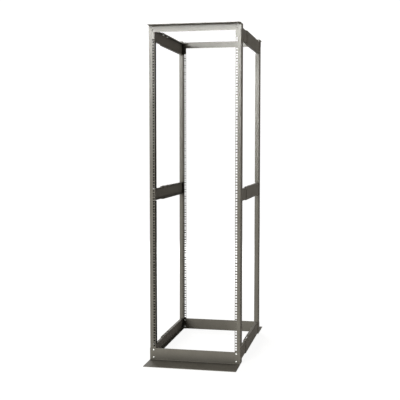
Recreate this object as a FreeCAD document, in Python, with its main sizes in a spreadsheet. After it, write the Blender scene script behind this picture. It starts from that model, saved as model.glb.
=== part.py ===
import FreeCAD, Part
import os
import Sketcher

# Four post open frame rack with the 19 inch hole pattern, in millimetres.
# X runs across the rack, +Y towards its rear and +Z up. The origin is on the floor,
# under the middle of the four posts.

sizes = {
    # whole frame
    "frameWidth": 514.35,        # over the outer faces of the posts
    "frameDepth": 785.0,         # front mounting face to rear mounting face
    "frameHeight": 1864.0,
    # mounting holes, three to each rack unit
    "unitPitch": 44.45,
    "holeStep": 15.875,
    "holeSide": 9.5,
    "holeEdge": 7.125,           # hole centres to the flange's inner edge
    "lowestHole": 94.4,          # bottom hole of the lowest whole unit, above the floor
    "headroom": 85.0,            # least length of post above the highest whole unit
    # posts, a C channel whose inner lip has a folded edge
    "postSheet": 2.5,
    "postFlange": 31.75,
    "postDepth": 62.0,
    "postLip": 19.0,
    "lipFold": 8.0,              # reach of the 45 degree fold, both across and forward
    "postBend": 2.5,             # inside radius
    "postFootGap": 1.0,          # the posts stop just short of the floor
    # base angles
    "baseSheet": 3.0,
    "baseLeg": 69.0,
    "baseToe": 149.0,
    # top angles
    "topSheet": 2.5,
    "topLeg": 38.0,
    "topFlange": 42.0,
    "angleBend": 3.0,            # inside radius
    # side braces, a front channel that slides inside a taller rear channel
    "braceSheet": 2.0,
    "braceBend": 2.0,            # inside radius
    "rearBraceHeight": 75.0,
    "rearBraceFlange": 18.0,
    "nestGap": 2.5,              # between the two channels' flanges
    "frontBraceFlange": 15.0,
    "rearBraceStart": 225.0,     # behind the front mounting face
    "frontBraceTail": 130.0,     # from the front channel's end to the rear mounting face
    "braceEndGap": 1.5,          # between a brace's end and the bend inside its post
    "notchGap": 1.5,             # around a brace where it passes the post's lip
    "lowBraceRise": 5.0,         # floor to the low rear channel
    "midBraceCentre": 931.5,
    "highBraceDrop": 10.5,       # high rear channel to the top of the posts
    "seatLength": 46.0,          # doubler that packs a front channel out to its post
    # slots that set the depth: a row in each rear channel's upper flange, over one long slot
    # in the front channel's
    "slotCount": 3,
    "slotPitch": 50.0,
    "slotLength": 32.0,
    "slotWidth": 8.0,
    "slotMargin": 12.0,          # rear channel's front end to its first slot
    "slotInset": 10.0,           # rear channel's web to the slots' centre line
}

# Lengths that several pieces share.
endInset = "(postSheet + postBend + braceEndGap)"
holeInset = "(postFlange - holeEdge)"
edgeStep = "(unitPitch - 2 * holeStep)"
unitCount = f"floor((frameHeight - headroom - lowestHole + {edgeStep} / 2) / unitPitch)"
slotStart = "(rearBraceStart + slotMargin)"
longSlot = "((slotCount - 1) * slotPitch + slotLength)"
braceHeights = {"front": "(rearBraceHeight - 2 * (braceSheet + nestGap))",
                "rear": "rearBraceHeight"}
levels = {"low": "(lowBraceRise + rearBraceHeight / 2)",
          "mid": "midBraceCentre",
          "high": "(frameHeight - highBraceDrop - rearBraceHeight / 2)"}
sides = {"left": 1, "right": -1}       # sign of the inward direction along X
ends = {"front": 1, "rear": -1}        # sign of the inward direction along Y

doc = FreeCAD.newDocument("openFrameRack")
sheet = doc.addObject("Spreadsheet::Sheet", "sizes")
for row, (name, value) in enumerate(sizes.items(), start=1):
    sheet.set(f"A{row}", name)
    sheet.set(f"B{row}", str(value))
    sheet.setAlias(f"B{row}", name)
doc.recompute()


def expand(formula):
    # Each size named in a formula becomes a reference to its cell.
    pieces = []
    word = ""
    for letter in f"{formula} ":
        if letter.isalnum():
            word += letter
            continue
        pieces.append(f"sizes.{word}" if word in sizes else word)
        pieces.append(letter)
        word = ""
    return "".join(pieces).strip()


def evaluate(formula):
    return float(sheet.evalExpression(expand(formula)))


def bind(thing, prop, formula):
    thing.setExpression(prop, expand(formula))


def signed(sign, formula):
    return f"{sign} * ({formula})"


def newBody(label, x="0", y="0", z="0"):
    body = doc.addObject("PartDesign::Body", label)
    body.Label = label
    bind(body, "Placement.Base.x", x)
    bind(body, "Placement.Base.y", y)
    bind(body, "Placement.Base.z", z)
    return body


def newSketch(body, plane, name, offset="0"):
    sketch = body.newObject("Sketcher::SketchObject", f"{body.Name}_{name}")
    support = [part for part in body.Origin.OriginFeatures if part.Role == plane]
    sketch.AttachmentSupport = [(support[0], "")]
    sketch.MapMode = "FlatFace"
    bind(sketch, "AttachmentOffset.Base.z", offset)
    return sketch


def limit(sketch, kind, places, formula):
    # A dimension that follows the sheet.
    number = sketch.addConstraint(Sketcher.Constraint(kind, *places, evaluate(formula)))
    bind(sketch, f"Constraints[{number}]", formula)


def pin(sketch, edge, end, x, y):
    # Holds a point of the sketch at its two coordinates, measured from the sketch's origin.
    for kind, axis, formula in (("DistanceX", -2, x), ("DistanceY", -1, y)):
        if abs(evaluate(formula)) < 1e-9:
            sketch.addConstraint(Sketcher.Constraint("PointOnObject", edge, end, axis))
        else:
            limit(sketch, kind, (-1, 1, edge, end), formula)


def addOutline(sketch, corners):
    first = sketch.GeometryCount
    count = len(corners)
    points = [FreeCAD.Vector(evaluate(x), evaluate(y), 0) for x, y in corners]
    for n in range(count):
        sketch.addGeometry(Part.LineSegment(points[n], points[(n + 1) % count]))
    for n in range(count):
        follower = first + (n + 1) % count
        sketch.addConstraint(Sketcher.Constraint("Coincident", first + n, 2, follower, 1))
    for n, (x, y) in enumerate(corners):
        pin(sketch, first + n, 1, x, y)


def addRectangle(sketch, x0, x1, y0, y1):
    addOutline(sketch, [(x0, y0), (x1, y0), (x1, y1), (x0, y1)])


def addPad(body, sketch, length, direction="forward"):
    pad = body.newObject("PartDesign::Pad", f"{sketch.Name}_pad")
    pad.Profile = sketch
    bind(pad, "Length", length)
    pad.Reversed = direction == "reversed"
    pad.Midplane = direction == "both"
    doc.recompute()
    return pad


def addPocket(body, sketch, length, direction="forward"):
    # Every pocket has to take something away.
    before = body.Shape.Volume
    pocket = body.newObject("PartDesign::Pocket", f"{sketch.Name}_pocket")
    pocket.Profile = sketch
    bind(pocket, "Length", length)
    pocket.Reversed = direction == "reversed"
    pocket.Midplane = direction == "both"
    doc.recompute()
    if not pocket.Shape.Volume < before - 1e-3:
        raise ValueError(f"{pocket.Name} cuts nothing")
    return pocket


def addRow(body, feature, sketch, pitch, count):
    # Repeats a feature along the sketch's vertical axis.
    row = body.newObject("PartDesign::LinearPattern", f"{feature.Name}_row")
    row.Originals = [feature]
    row.Direction = (sketch, ["V_Axis"])
    bind(row, "Length", f"({count} - 1) * {pitch}")
    bind(row, "Occurrences", count)
    body.Tip = row
    doc.recompute()
    return row


def addBends(body, corners, across, radius):
    # Rounds the straight edges that run through the given corners of the section.
    feature = body.Tip
    wanted = [(evaluate(a), evaluate(b)) for a, b in corners]
    names = []
    for number, edge in enumerate(feature.Shape.Edges, start=1):
        start, stop = edge.Vertexes[0].Point, edge.Vertexes[-1].Point
        for a, b in wanted:
            misses = [abs(getattr(point, axis) - value)
                      for point in (start, stop) for axis, value in zip(across, (a, b))]
            if max(misses) < 1e-4 and edge.Length > 1:
                names.append(f"Edge{number}")
    if len(names) != len(corners):
        raise ValueError(f"{body.Label}: {len(names)} of {len(corners)} bends found")
    fillet = body.newObject("PartDesign::Fillet", f"{body.Name}_bend{len(body.Group)}")
    fillet.Base = (feature, names)
    bind(fillet, "Radius", radius)
    doc.recompute()
    return fillet


def makePost(end, side):
    u = sides[side]
    v = ends[end]
    body = newBody(f"post_{end}_{side}", signed(-u, "frameWidth / 2"),
                   signed(-v, "frameDepth / 2"), "postFootGap")

    def place(across, deep):
        return signed(u, across), signed(v, deep)

    slant = "postSheet * sqrt(0.5)"
    outer = [place("0", "0"), place("0", "postDepth"), place("postLip", "postDepth")]
    inner = [place("postLip + postSheet - postSheet * sqrt(2)", "postDepth - postSheet"),
             place("postSheet", "postDepth - postSheet"), place("postSheet", "postSheet")]
    foldTip = [place("postLip + lipFold", "postDepth - lipFold"),
               place(f"postLip + lipFold - {slant}", f"postDepth - lipFold - {slant}")]
    mouth = [place("postFlange", "postSheet"), place("postFlange", "0")]
    section = newSketch(body, "XY_Plane", "section")
    addOutline(section, outer + foldTip + inner + mouth)
    addPad(body, section, "frameHeight - postFootGap")
    addBends(body, outer, "xy", "postBend + postSheet")
    addBends(body, inner, "xy", "postBend")

    # The lip stops where a brace passes into the channel.
    notches = newSketch(body, "YZ_Plane", "notches", signed(u, "postSheet"))
    for level, centre in levels.items():
        middle = f"{centre} - postFootGap"
        reach = f"{braceHeights[end]} / 2 + notchGap"
        bottom = "0 - notchGap" if level == "low" else f"{middle} - ({reach})"
        addRectangle(notches, signed(v, "postDepth - lipFold - 2 * postSheet"),
                     signed(v, "postDepth + postSheet"), bottom, f"{middle} + {reach}")
    addPocket(body, notches, "postLip + lipFold", "reversed" if u > 0 else "forward")

    # Square holes: one unit's three, repeated, then one more beyond each end of the row.
    lowest = "lowestHole - postFootGap"
    top = f"{lowest} + ({unitCount} - 1) * unitPitch + 2 * holeStep"
    unit = newSketch(body, "XZ_Plane", "unit_holes")
    spare = newSketch(body, "XZ_Plane", "spare_holes")
    rows = {unit: [f"{lowest} + {n} * holeStep" for n in range(3)],
            spare: [f"{lowest} - {edgeStep}", f"{top} + {edgeStep}"]}
    for sketch, heights in rows.items():
        for middle in heights:
            addRectangle(sketch, signed(u, f"{holeInset} - holeSide / 2"),
                         signed(u, f"{holeInset} + holeSide / 2"),
                         f"{middle} - holeSide / 2", f"{middle} + holeSide / 2")
    addPocket(body, spare, "3 * postSheet", "both")
    firstUnit = addPocket(body, unit, "3 * postSheet", "both")
    addRow(body, firstUnit, unit, "unitPitch", unitCount)


def makeAngle(label, end, heightFormula, leg, flange, sheetName):
    # The leg lies on the posts' mounting faces. A negative leg hangs down from its flange.
    v = ends[end]
    upright = 1 if leg == "baseLeg" else -1
    body = newBody(label, "0", signed(-v, "frameDepth / 2"), heightFormula)

    def place(outward, rise):
        return signed(-v, outward), signed(upright, rise)

    corner = place("0", "0")
    crook = place(sheetName, sheetName)
    section = newSketch(body, "YZ_Plane", "section")
    addOutline(section, [corner, place(flange, "0"), place(flange, sheetName), crook,
                         place(sheetName, leg), place("0", leg)])
    addPad(body, section, "frameWidth", "both")
    addBends(body, [corner], "yz", f"angleBend + {sheetName}")
    addBends(body, [crook], "yz", "angleBend")


def makeBrace(end, side, level):
    u = sides[side]
    web = "postSheet" if end == "rear" else "postSheet + braceSheet"
    start = "rearBraceStart" if end == "rear" else endInset
    stop = f"frameDepth - {endInset}" if end == "rear" else "frameDepth - frontBraceTail"
    body = newBody(f"brace_{level}_{side}_{end}", signed(-u, f"frameWidth / 2 - ({web})"),
                   f"{start} - frameDepth / 2", levels[level])

    def place(across, rise):
        return signed(u, across), rise

    half = f"{braceHeights[end]} / 2"
    outer = [place("0", f"0 - {half}"), place("0", half)]
    inner = [place("braceSheet", f"{half} - braceSheet"),
             place("braceSheet", f"braceSheet - {half}")]
    flange = f"{end}BraceFlange"
    section = newSketch(body, "XZ_Plane", "section")
    addOutline(section, outer + [place(flange, half), place(flange, f"{half} - braceSheet")]
               + inner + [place(flange, f"braceSheet - {half}"), place(flange, f"0 - {half}")])
    addPad(body, section, f"{stop} - ({start})", "reversed")
    addBends(body, outer, "xz", "braceBend + braceSheet")
    addBends(body, inner, "xz", "braceBend")

    if end == "front":
        flat = f"{half} - braceBend - braceSheet"
        seat = newSketch(body, "YZ_Plane", "seat")
        addRectangle(seat, "0", "seatLength", f"0 - ({flat})", flat)
        addPad(body, seat, "braceSheet", "reversed" if u > 0 else "forward")

    slots = newSketch(body, "XY_Plane", "slots", half)
    middle = "slotInset" if end == "rear" else "slotInset - braceSheet"
    first = f"{slotStart} - ({start})"
    length = "slotLength" if end == "rear" else longSlot
    addRectangle(slots, signed(u, f"{middle} - slotWidth / 2"), signed(u, f"{middle} + slotWidth / 2"),
                 first, f"{first} + {length}")
    firstSlot = addPocket(body, slots, "2 * braceSheet")
    if end == "rear":
        addRow(body, firstSlot, slots, "slotPitch", "slotCount")


for end in ends:
    for side in sides:
        makePost(end, side)
for end in ends:
    makeAngle(f"base_angle_{end}", end, "0", "baseLeg", "baseToe", "baseSheet")
    makeAngle(f"top_angle_{end}", end, "frameHeight", "topLeg", "topFlange", "topSheet")
for level in levels:
    for side in sides:
        for end in ends:
            makeBrace(end, side, level)

doc.recompute()
for item in doc.Objects:
    if "Invalid" in item.State or "Error" in item.State:
        raise ValueError(f"{item.Name} failed: {item.State}")
bodies = [item for item in doc.Objects if item.TypeId == "PartDesign::Body"]
for body in bodies:
    if body.Shape.isNull() or not body.Shape.isValid() or len(body.Shape.Solids) != 1:
        raise ValueError(f"{body.Label} is not one valid solid")

os.makedirs("parts", exist_ok=True)
for body in bodies:
    body.Shape.exportStep(f"parts/{body.Label}.step")
    box = body.Shape.BoundBox
    print(f"{body.Label}: {body.Shape.Volume / 1000:.1f} cm3, X {box.XMin:.1f} to {box.XMax:.1f}, "
          f"Y {box.YMin:.1f} to {box.YMax:.1f}, Z {box.ZMin:.1f} to {box.ZMax:.1f}")
print(f"{len(bodies)} nodes written")
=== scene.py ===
import math

import bpy
from mathutils import Matrix, Vector


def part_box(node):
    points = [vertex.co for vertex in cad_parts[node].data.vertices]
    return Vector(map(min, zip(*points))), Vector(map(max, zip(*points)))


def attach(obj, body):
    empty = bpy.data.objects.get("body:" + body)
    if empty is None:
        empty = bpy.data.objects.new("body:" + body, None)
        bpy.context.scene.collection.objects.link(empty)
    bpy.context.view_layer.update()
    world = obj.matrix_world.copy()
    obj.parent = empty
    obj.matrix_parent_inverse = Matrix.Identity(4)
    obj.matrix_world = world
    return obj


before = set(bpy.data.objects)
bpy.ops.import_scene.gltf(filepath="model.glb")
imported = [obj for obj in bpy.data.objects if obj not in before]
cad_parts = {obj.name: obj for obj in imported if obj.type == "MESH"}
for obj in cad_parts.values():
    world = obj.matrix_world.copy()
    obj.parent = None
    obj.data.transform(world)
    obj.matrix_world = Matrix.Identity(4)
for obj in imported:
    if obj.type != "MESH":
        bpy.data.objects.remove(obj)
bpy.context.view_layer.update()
bpy.ops.object.select_all(action="DESELECT")
print("frame loaded:", len(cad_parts), "nodes")


def toLinear(code):
    # sRGB hex to the linear colour a shader takes
    parts = [int(code[i:i + 2], 16) / 255 for i in (1, 3, 5)]
    return [p / 12.92 if p <= 0.04045 else ((p + 0.055) / 1.055) ** 2.4 for p in parts] + [1.0]


def addNode(material, kind, settings=None, inputs=None):
    # a node with its settings, its fixed inputs, and its links where an input is a socket
    node = material.node_tree.nodes.new(kind)
    for name, value in (settings or {}).items():
        setattr(node, name, value)
    for name, value in (inputs or {}).items():
        if isinstance(value, bpy.types.NodeSocket):
            material.node_tree.links.new(value, node.inputs[name])
        else:
            node.inputs[name].default_value = value
    return node


def newMaterial(name):
    material = bpy.data.materials.new(name)
    material.use_nodes = True
    material.node_tree.nodes.clear()
    return material


# Powder coat on steel sheet: dry warm grey, near matt, with a fine orange peel, and shade painted
# darker into its colour deep in the folds.
powderCoat = {
    "deep": "#78756c",
    "pale": "#7e7b72",
    "deepAt": 0.35, "paleAt": 0.65,
    "cloud": 90.0,        # mm, size of the slow drift between the two tones
    "cloudDetail": 3.0, "cloudRoughness": 0.55,
    "paintedShade": "#1c1b18",  # painted shade: a near-black tone mixed into the colour deep in the folds, so that the recesses read black
    "reach": 90.0,        # mm, how near the folds have to be
    "openSky": 0.85,      # share of open sky above which none of it shows
    "closedSky": 0.3,     # and below which only it shows
    "skySamples": 16,
    "peel": 2.2,          # mm, size of the orange peel, which shows only close up
    "peelDepth": 0.02,    # mm
    "peelStrength": 0.5, "peelLow": 0.3, "peelHigh": 0.7,
    "smoothest": 0.68, "roughest": 0.8,
    "ior": 1.5, "shine": 0.12,
}

# Bright zinc plate on steel screws: pale metal, slightly hazy.
zincPlate = {
    "bright": "#cbccc8",
    "dull": "#a2a39e",
    "spangle": 2.5,       # mm, size of the brighter and duller patches
    "dullAt": 0.3, "brightAt": 0.7,
    "smoothest": 0.26, "roughest": 0.42,
}


def makePowderCoat(look):
    material = newMaterial("powderCoatedSteel")
    place = addNode(material, "ShaderNodeTexCoord")
    cloud = addNode(material, "ShaderNodeTexNoise", inputs={
        "Vector": place.outputs["Object"], "Scale": 1000 / look["cloud"],
        "Detail": look["cloudDetail"], "Roughness": look["cloudRoughness"]})
    tone = addNode(material, "ShaderNodeValToRGB", inputs={"Fac": cloud.outputs["Fac"]})
    tone.color_ramp.elements[0].position = look["deepAt"]
    tone.color_ramp.elements[0].color = toLinear(look["deep"])
    tone.color_ramp.elements[1].position = look["paleAt"]
    tone.color_ramp.elements[1].color = toLinear(look["pale"])
    # painted shade: ambient occlusion mixes the dark tone into the base colour where folds and
    # recesses close in
    sky = addNode(material, "ShaderNodeAmbientOcclusion", {
        "samples": look["skySamples"], "only_local": True}, {"Distance": look["reach"] / 1000})
    share = addNode(material, "ShaderNodeMapRange", inputs={
        "Value": sky.outputs["AO"], "From Min": look["closedSky"], "From Max": look["openSky"]})
    # a colour mix has its colours on inputs 6 and 7 and its result on output 2
    colour = addNode(material, "ShaderNodeMix", {"data_type": "RGBA"}, {
        0: share.outputs["Result"], 6: toLinear(look["paintedShade"]), 7: tone.outputs["Color"]})
    peel = addNode(material, "ShaderNodeTexNoise", inputs={
        "Vector": place.outputs["Object"], "Scale": 1000 / look["peel"]})
    gloss = addNode(material, "ShaderNodeMapRange", inputs={
        "Value": peel.outputs["Fac"], "From Min": look["peelLow"], "From Max": look["peelHigh"],
        "To Min": look["smoothest"], "To Max": look["roughest"]})
    bump = addNode(material, "ShaderNodeBump", inputs={
        "Height": peel.outputs["Fac"], "Strength": look["peelStrength"],
        "Distance": look["peelDepth"] / 1000})
    coat = addNode(material, "ShaderNodeBsdfPrincipled", inputs={
        "Base Color": colour.outputs[2], "Roughness": gloss.outputs["Result"],
        "Normal": bump.outputs["Normal"], "IOR": look["ior"],
        "Specular IOR Level": look["shine"]})
    addNode(material, "ShaderNodeOutputMaterial", inputs={"Surface": coat.outputs["BSDF"]})
    return material


def makeZinc(look):
    material = newMaterial("zincPlatedSteel")
    place = addNode(material, "ShaderNodeTexCoord")
    spangle = addNode(material, "ShaderNodeTexNoise", inputs={
        "Vector": place.outputs["Object"], "Scale": 1000 / look["spangle"]})
    tone = addNode(material, "ShaderNodeValToRGB", inputs={"Fac": spangle.outputs["Fac"]})
    tone.color_ramp.elements[0].position = look["dullAt"]
    tone.color_ramp.elements[0].color = toLinear(look["dull"])
    tone.color_ramp.elements[1].position = look["brightAt"]
    tone.color_ramp.elements[1].color = toLinear(look["bright"])
    gloss = addNode(material, "ShaderNodeMapRange", inputs={
        "Value": spangle.outputs["Fac"], "From Min": look["dullAt"], "From Max": look["brightAt"],
        "To Min": look["roughest"], "To Max": look["smoothest"]})
    metal = addNode(material, "ShaderNodeBsdfPrincipled", inputs={
        "Base Color": tone.outputs["Color"], "Roughness": gloss.outputs["Result"], "Metallic": 1.0})
    addNode(material, "ShaderNodeOutputMaterial", inputs={"Surface": metal.outputs["BSDF"]})
    return material


steelFinish = makePowderCoat(powderCoat)
zincFinish = makeZinc(zincPlate)
coated = (steelFinish, "frame_steel")  # each finish with its slot
plated = (zincFinish, "bolt_zinc")
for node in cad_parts.values():
    for materialSlot in node.material_slots:
        materialSlot.material = steelFinish
print("powder coat on the folded steel")


def selectWhere(mesh, test):
    # in edit mode, selects the vertices that pass, and the edges and faces between them
    bpy.ops.object.mode_set(mode="OBJECT")
    for part in (mesh.polygons, mesh.edges, mesh.vertices):
        part.foreach_set("select", [False] * len(part))
    for vertex in mesh.vertices:
        vertex.select = test(vertex.co)
    bpy.ops.object.mode_set(mode="EDIT")
    bpy.ops.mesh.select_mode(type="VERT")


def makeFastener(name, shape):
    # a head or nut that stands on z = 0: its end face is a ring between an outer and an inner
    # outline, the inner one sunk for a socket or raised
    top = shape["height"]
    between = (shape["innerRadius"] + shape["outerRadius"]) / 2
    bpy.ops.object.select_all(action="DESELECT")
    bpy.ops.mesh.primitive_circle_add(vertices=shape["outerCount"], radius=shape["outerRadius"],
                                      location=(0, 0, top))
    piece = bpy.context.object
    piece.name = name
    bpy.ops.object.transform_apply(location=True, rotation=True, scale=True)
    bpy.ops.object.mode_set(mode="EDIT")
    bpy.ops.mesh.primitive_circle_add(vertices=shape["innerCount"], radius=shape["innerRadius"],
                                      location=(0, 0, top))
    bpy.ops.mesh.select_all(action="SELECT")
    bpy.ops.mesh.bridge_edge_loops()
    mesh = piece.data
    selectWhere(mesh, lambda co: co.xy.length < between)
    bpy.ops.mesh.extrude_edges_move(TRANSFORM_OT_translate={"value": (0, 0, shape["innerRise"])})
    bpy.ops.mesh.edge_face_add()
    selectWhere(mesh, lambda co: co.xy.length > between)
    bpy.ops.mesh.extrude_edges_move(TRANSFORM_OT_translate={"value": (0, 0, -top)})
    bpy.ops.mesh.edge_face_add()
    selectWhere(mesh, lambda co: co.xy.length > between and co.z > top / 2)
    bpy.ops.mesh.bevel(offset=shape["round"], segments=shape["roundSteps"], affect="EDGES")
    bpy.ops.mesh.select_all(action="SELECT")
    bpy.ops.mesh.normals_make_consistent(inside=False)
    bpy.ops.object.mode_set(mode="OBJECT")
    return piece


def addShank(piece, shank):
    # the plain shank below the seat, where it passes through open slots
    length = shank["length"]
    bpy.ops.object.select_all(action="DESELECT")
    piece.select_set(True)
    bpy.context.view_layer.objects.active = piece
    bpy.ops.object.mode_set(mode="EDIT")
    bpy.ops.mesh.select_all(action="DESELECT")
    bpy.ops.mesh.primitive_cylinder_add(vertices=shank["sides"], radius=shank["radius"],
                                        depth=length, location=(0, 0, -length / 2))
    bpy.ops.object.mode_set(mode="OBJECT")
    mesh = piece.data
    selectWhere(mesh, lambda co: co.z < -length / 2)
    bpy.ops.mesh.bevel(offset=shank["bevel"], segments=1, affect="EDGES")
    bpy.ops.object.mode_set(mode="OBJECT")


def putCopy(pattern, name, seat, outward, look):
    # a copy with its own mesh, turned to face outward and stood on its seat
    finish, slot = look
    piece = pattern.copy()
    piece.data = pattern.data.copy()
    piece.name = name
    bpy.context.collection.objects.link(piece)
    turn = Vector(outward).to_track_quat("Z", "Y").to_matrix().to_4x4()
    piece.data.transform(Matrix.Translation(seat) @ turn)
    piece.data.materials.clear()
    piece.data.materials.append(finish)
    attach(piece, "root")


panHead = {
    "outerCount": 24, "outerRadius": 0.0056, "height": 0.0036,
    "innerCount": 6, "innerRadius": 0.0023, "innerRise": -0.002,
    "round": 0.0016, "roundSteps": 3,
    "smoothUnder": 40.0,  # degrees
}
hexNut = {
    "outerCount": 6, "outerRadius": 0.00577, "height": 0.005,
    "innerCount": 16, "innerRadius": 0.003, "innerRise": 0.002,
    "round": 0.0005, "roundSteps": 1,
}

screw = makeFastener("screwPattern", panHead)
nut = makeFastener("nutPattern", hexNut)
bpy.ops.object.select_all(action="DESELECT")
screw.select_set(True)
bpy.context.view_layer.objects.active = screw
bpy.ops.object.shade_smooth_by_angle(angle=math.radians(panHead["smoothUnder"]))
print("screw and nut shaped")

cornerScrews = {
    "baseSheet": 0.003, "topSheet": 0.0025, "postSheet": 0.0025,
    "baseAcross": 0.235, "baseHeights": (0.016, 0.059), "topAcross": 0.235, "topHeight": 1.84,
}


def makeCornerScrews(size):
    # through each angle's upright leg into the post's mounting flange, nut behind: the base ones
    # are zinc, the top ones have the frame's finish
    for end, front in (("front", -1), ("rear", 1)):
        for side, right in (("left", -1), ("right", 1)):
            low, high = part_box("post_" + end + "_" + side)
            plane = low[1] if front < 0 else high[1]
            inside = plane - front * size["postSheet"]
            rows = [("base", size["baseAcross"], height, size["baseSheet"], plated)
                    for height in size["baseHeights"]]
            rows.append(("top", size["topAcross"], size["topHeight"], size["topSheet"], coated))
            for index, (where, across, height, sheet, look) in enumerate(rows):
                name = "_".join((where, end, side, str(index)))
                seat = (right * across, plane + front * sheet, height)
                putCopy(screw, "screw_" + name, seat, (0, front, 0), look)
                seat = (right * across, inside, height)
                putCopy(nut, "nut_" + name, seat, (0, -front, 0), look)


makeCornerScrews(cornerScrews)
print("corner screws in")

braceScrews = {"sheet": 0.002, "spread": 0.02, "fromEnd": 0.024}


def makeBraceScrews(size):
    # two to each brace end, inside the channel, facing away from the post's web
    for level in ("low", "mid", "high"):
        for side, right in (("left", -1), ("right", 1)):
            for end, front in (("front", -1), ("rear", 1)):
                low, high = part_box("brace_" + level + "_" + side + "_" + end)
                outer = high[0] if right > 0 else -low[0]
                web = outer - size["sheet"] * (2 if end == "front" else 1)
                depth = (low[1] if front < 0 else high[1]) - front * size["fromEnd"]
                middle = (low[2] + high[2]) / 2
                for index, rise in enumerate((-size["spread"], size["spread"])):
                    name = "_".join(("screw", level, side, end, str(index)))
                    seat = (right * web, depth, middle + rise)
                    putCopy(screw, name, seat, (-right, 0, 0), coated)


makeBraceScrews(braceScrews)
print("brace screws in")

cupHead = {
    "outerCount": 24, "outerRadius": 0.0068, "height": 0.0022,
    "innerCount": 12, "innerRadius": 0.0012, "innerRise": 0.0002,
    "round": 0.0019, "roundSteps": 4,
}
clampShank = {"sides": 16, "radius": 0.003, "length": 0.015, "bevel": 0.0006}
clampScrews = {
    "sheet": 0.002, "inset": 0.01, "fromStart": (0.0395, 0.1385),
    "nutDrop": 0.0003,    # keeps the nut clear of the inside of the bend
    "zincNuts": ("high",),
}


def makeClampScrews(size):
    # the two that lock each pair of channels at the set depth: a cup head over the slot above,
    # its shank down through both slots, and a nut below
    pattern = makeFastener("cupPattern", cupHead)
    addShank(pattern, clampShank)
    for level in ("low", "mid", "high"):
        for side, right in (("left", -1), ("right", 1)):
            rearLow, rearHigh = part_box("brace_" + level + "_" + side + "_rear")
            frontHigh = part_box("brace_" + level + "_" + side + "_front")[1]
            outer = rearHigh[0] if right > 0 else -rearLow[0]
            for index, start in enumerate(size["fromStart"]):
                spot = (right * (outer - size["inset"]), rearLow[1] + start)
                name = "_".join((level, side, str(index)))
                putCopy(pattern, "clamp_" + name, (*spot, rearHigh[2]), (0, 0, 1), coated)
                under = frontHigh[2] - size["sheet"] - size["nutDrop"]
                look = plated if level in size["zincNuts"] else coated
                putCopy(nut, "clampNut_" + name, (*spot, under), (0, 0, -1), look)
    bpy.data.objects.remove(pattern)


makeClampScrews(clampScrews)
bpy.data.objects.remove(screw)
bpy.data.objects.remove(nut)
print("clamp screws in")

studio = {
    "paper": "#949492", "floorHalf": 9.0,
    "domeRadius": 14.0, "domeSegments": 32, "domeRings": 16,
    "glowNear": 0.92, "glowFar": 1.0, "fadeFrom": 0.9, "fadeTo": 2.6,
    "fill": 0.07, "fillColour": "#ffefe2",
}


def makePaper(name, look):
    # grey paper with a white glow for the eye, reflections and clear things only: it is weaker near
    # the object, so that the shadow shows
    material = newMaterial(name)
    place = addNode(material, "ShaderNodeTexCoord")
    away = addNode(material, "ShaderNodeVectorMath", {"operation": "LENGTH"}, {
        0: place.outputs["Object"]})
    glow = addNode(material, "ShaderNodeMapRange", {"interpolation_type": "SMOOTHSTEP"}, {
        "Value": away.outputs["Value"], "From Min": look["fadeFrom"], "From Max": look["fadeTo"],
        "To Min": look["glowNear"], "To Max": look["glowFar"]})
    rays = addNode(material, "ShaderNodeLightPath")
    seen = addNode(material, "ShaderNodeMath", {"operation": "MAXIMUM"}, {
        0: rays.outputs["Is Camera Ray"], 1: rays.outputs["Is Glossy Ray"]})
    through = addNode(material, "ShaderNodeMath", {"operation": "MAXIMUM"}, {
        0: seen.outputs[0], 1: rays.outputs["Is Transmission Ray"]})
    amount = addNode(material, "ShaderNodeMath", {"operation": "MULTIPLY"}, {
        0: through.outputs[0], 1: glow.outputs["Result"]})
    paper = addNode(material, "ShaderNodeBsdfDiffuse", inputs={"Color": toLinear(look["paper"])})
    light = addNode(material, "ShaderNodeEmission", inputs={"Strength": amount.outputs[0]})
    both = addNode(material, "ShaderNodeAddShader", inputs={
        0: paper.outputs[0], 1: light.outputs[0]})
    addNode(material, "ShaderNodeOutputMaterial", inputs={"Surface": both.outputs[0]})
    return material


def makeStudio(look):
    # a floor that takes the shadow, inside a white dome that the fill light passes through
    paper = makePaper("studioPaper", look)
    bpy.ops.mesh.primitive_plane_add(size=2 * look["floorHalf"])
    floor = bpy.context.object
    floor.name = "studioFloor"
    floor.data.materials.append(paper)
    bpy.ops.mesh.primitive_uv_sphere_add(segments=look["domeSegments"],
                                         ring_count=look["domeRings"], radius=look["domeRadius"])
    dome = bpy.context.object
    dome.name = "studioDome"
    dome.data.materials.append(paper)
    dome.visible_diffuse = False
    dome.visible_shadow = False
    world = bpy.data.worlds.new("studioFill")
    world.use_nodes = True
    world.node_tree.nodes.clear()
    fill = addNode(world, "ShaderNodeBackground", inputs={
        "Color": toLinear(look["fillColour"]), "Strength": look["fill"]})
    addNode(world, "ShaderNodeOutputWorld", inputs={"Surface": fill.outputs[0]})
    bpy.context.scene.world = world


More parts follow.
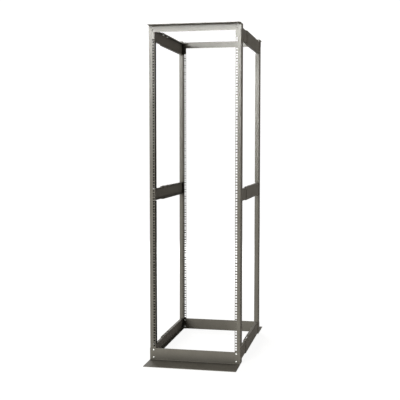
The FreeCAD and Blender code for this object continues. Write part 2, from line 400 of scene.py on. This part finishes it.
softBoxes = {
    "frontWall": {
        "place": (-2.0, -9.0, 2.2), "aim": (0.0, 0.0, 0.9), "size": (3.2, 4.0),
        "power": 705.0, "spread": 180.0, "colour": "#fffefd",
    },
    "upperBeam": {
        "place": (-1.6, -4.2, 2.38), "aim": (0.45, 0.0, 2.32), "size": (1.0, 0.6),
        "power": 27.0, "spread": 34.0, "colour": "#ecf2ff",
    },
    "rightWall": {
        "place": (6.0, 0.6, 1.3), "aim": (0.0, 0.0, 0.9), "size": (2.0, 2.4),
        "power": 38.0, "spread": 180.0, "colour": "#ffefe6",
    },
    "rearWall": {
        "place": (-2.2, 4.4, 1.9), "aim": (0.0, 0.0, 0.9), "size": (2.0, 1.6),
        "power": 160.0, "spread": 180.0, "colour": "#ffffff",
    },
}


def makeSoftBoxes(boxes):
    # area lamps, all wide but the beam, which has a narrow spread
    for name, box in boxes.items():
        light = bpy.data.lights.new(name, "AREA")
        light.shape = "RECTANGLE"
        light.size, light.size_y = box["size"]
        light.energy = box["power"]
        light.color = toLinear(box["colour"])[:3]
        light.spread = math.radians(box["spread"])
        lamp = bpy.data.objects.new(name, light)
        bpy.context.collection.objects.link(lamp)
        lamp.location = box["place"]
        toAim = Vector(box["aim"]) - Vector(box["place"])
        lamp.rotation_euler = toAim.to_track_quat("-Z", "Y").to_euler()
        lamp.visible_camera = False


eye = {
    "place": (0.939, -4.728, 1.223), "turn": 11.84, "down": 4.07,  # metres, then degrees
    "lens": 72.74, "sensor": 36.0,                                 # mm
}


def makeCamera(look):
    lens = bpy.data.cameras.new("eye")
    lens.sensor_width = look["sensor"]
    lens.lens = look["lens"]
    camera = bpy.data.objects.new("eye", lens)
    bpy.context.collection.objects.link(camera)
    camera.location = look["place"]
    camera.rotation_euler = (math.radians(90 - look["down"]), 0, math.radians(look["turn"]))
    bpy.context.scene.camera = camera


makeStudio(studio)
makeSoftBoxes(softBoxes)
makeCamera(eye)
bpy.context.scene.view_settings.view_transform = "Standard"
print("studio, lamps and camera set")
